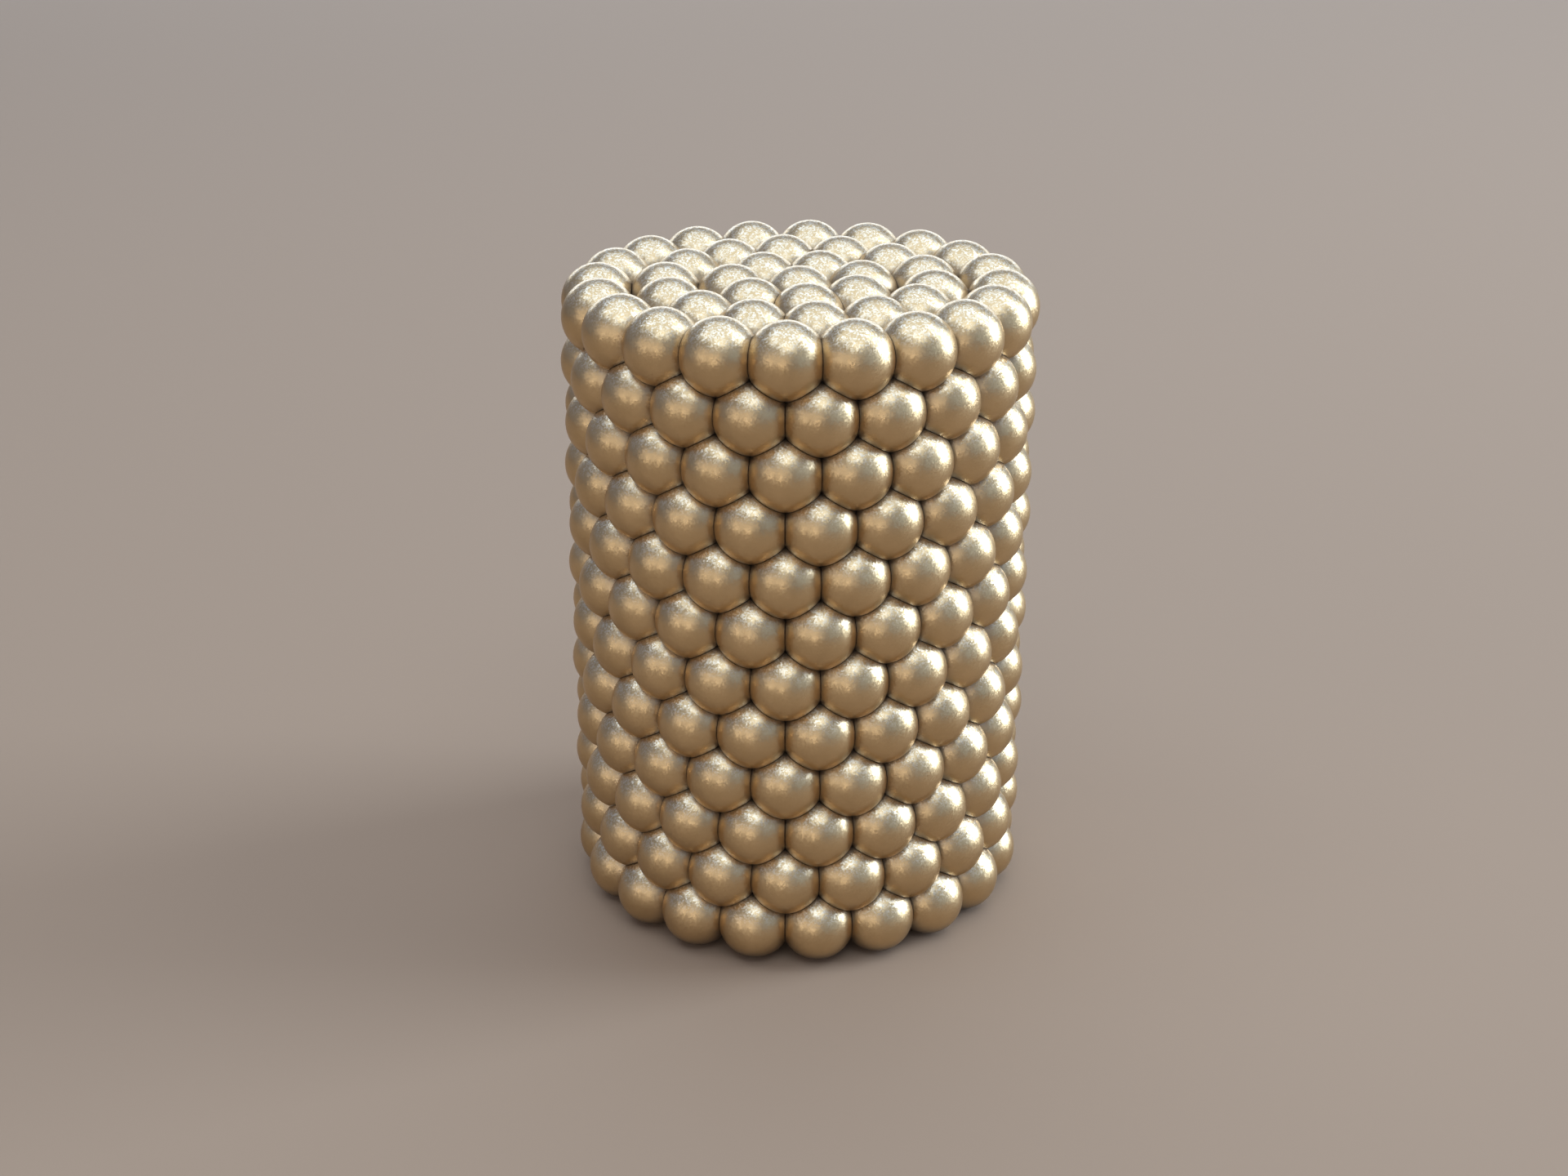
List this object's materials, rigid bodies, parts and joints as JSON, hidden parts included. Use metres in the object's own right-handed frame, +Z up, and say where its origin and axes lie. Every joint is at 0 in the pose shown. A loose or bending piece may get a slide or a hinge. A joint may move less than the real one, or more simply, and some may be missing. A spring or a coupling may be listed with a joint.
{
  "type": "magnetic ball sculpture",
  "caption": "Round tower of nested discs of satin gold magnet balls, each disc made of concentric rings round a centre ball.",
  "frame": {"origin": "centre of the circle that the bottom disc stands on", "axes": "+Z up along the tower's axis; the tower is round, so +X and +Y are set only by the top disc's first balls, at 122.7 degrees from +X"},
  "size_m": [0.0634, 0.0634, 0.0887],
  "materials": {
    "gold_plating": "satin champagne gold plating, finely grained"
  },
  "bodies": {
    "disc_01": {"disc_01_outer_ring": "gold_plating", "disc_01_middle_ring": "gold_plating", "disc_01_inner_ring": "gold_plating", "disc_01_centre_ball": "gold_plating"},
    "disc_02": {"disc_02_outer_ring": "gold_plating", "disc_02_middle_ring": "gold_plating", "disc_02_inner_ring": "gold_plating", "disc_02_centre_ball": "gold_plating"},
    "disc_03": {"disc_03_outer_ring": "gold_plating", "disc_03_middle_ring": "gold_plating", "disc_03_inner_ring": "gold_plating", "disc_03_centre_ball": "gold_plating"},
    "disc_04": {"disc_04_outer_ring": "gold_plating", "disc_04_middle_ring": "gold_plating", "disc_04_inner_ring": "gold_plating", "disc_04_centre_ball": "gold_plating"},
    "disc_05": {"disc_05_outer_ring": "gold_plating", "disc_05_middle_ring": "gold_plating", "disc_05_inner_ring": "gold_plating", "disc_05_centre_ball": "gold_plating"},
    "disc_06": {"disc_06_outer_ring": "gold_plating", "disc_06_middle_ring": "gold_plating", "disc_06_inner_ring": "gold_plating", "disc_06_centre_ball": "gold_plating"},
    "disc_07": {"disc_07_outer_ring": "gold_plating", "disc_07_middle_ring": "gold_plating", "disc_07_inner_ring": "gold_plating", "disc_07_centre_ball": "gold_plating"},
    "disc_08": {"disc_08_outer_ring": "gold_plating", "disc_08_middle_ring": "gold_plating", "disc_08_inner_ring": "gold_plating", "disc_08_centre_ball": "gold_plating"},
    "disc_09": {"disc_09_outer_ring": "gold_plating", "disc_09_middle_ring": "gold_plating", "disc_09_inner_ring": "gold_plating", "disc_09_centre_ball": "gold_plating"},
    "disc_10": {"disc_10_outer_ring": "gold_plating", "disc_10_middle_ring": "gold_plating", "disc_10_inner_ring": "gold_plating", "disc_10_centre_ball": "gold_plating"},
    "disc_11": {"disc_11_outer_ring": "gold_plating", "disc_11_middle_ring": "gold_plating", "disc_11_inner_ring": "gold_plating", "disc_11_centre_ball": "gold_plating"},
    "disc_12": {"disc_12_outer_ring": "gold_plating"},
    "top_middle_ring": {"disc_12_middle_ring": "gold_plating"},
    "top_inner_ring": {"disc_12_inner_ring": "gold_plating"},
    "top_centre_ball": {"disc_12_centre_ball": "gold_plating"}
  },
  "joints": [
    {"name": "disc_02_lift", "type": "slide", "parent": "disc_01", "child": "disc_02", "axis": [0, 0, 1], "range_m": [0, 0.015]},
    {"name": "disc_03_lift", "type": "slide", "parent": "disc_02", "child": "disc_03", "axis": [0, 0, 1], "range_m": [0, 0.015]},
    {"name": "disc_04_lift", "type": "slide", "parent": "disc_03", "child": "disc_04", "axis": [0, 0, 1], "range_m": [0, 0.015]},
    {"name": "disc_05_lift", "type": "slide", "parent": "disc_04", "child": "disc_05", "axis": [0, 0, 1], "range_m": [0, 0.015]},
    {"name": "disc_06_lift", "type": "slide", "parent": "disc_05", "child": "disc_06", "axis": [0, 0, 1], "range_m": [0, 0.015]},
    {"name": "disc_07_lift", "type": "slide", "parent": "disc_06", "child": "disc_07", "axis": [0, 0, 1], "range_m": [0, 0.015]},
    {"name": "disc_08_lift", "type": "slide", "parent": "disc_07", "child": "disc_08", "axis": [0, 0, 1], "range_m": [0, 0.015]},
    {"name": "disc_09_lift", "type": "slide", "parent": "disc_08", "child": "disc_09", "axis": [0, 0, 1], "range_m": [0, 0.015]},
    {"name": "disc_10_lift", "type": "slide", "parent": "disc_09", "child": "disc_10", "axis": [0, 0, 1], "range_m": [0, 0.015]},
    {"name": "disc_11_lift", "type": "slide", "parent": "disc_10", "child": "disc_11", "axis": [0, 0, 1], "range_m": [0, 0.015]},
    {"name": "disc_12_lift", "type": "slide", "parent": "disc_11", "child": "disc_12", "axis": [0, 0, 1], "range_m": [0, 0.015]},
    {"name": "top_middle_ring_lift", "type": "slide", "parent": "disc_12", "child": "top_middle_ring", "axis": [0, 0, 1], "range_m": [0, 0.015]},
    {"name": "top_inner_ring_lift", "type": "slide", "parent": "top_middle_ring", "child": "top_inner_ring", "axis": [0, 0, 1], "range_m": [0, 0.015]},
    {"name": "top_centre_ball_lift", "type": "slide", "parent": "top_inner_ring", "child": "top_centre_ball", "axis": [0, 0, 1], "range_m": [0, 0.015]}
  ]
}
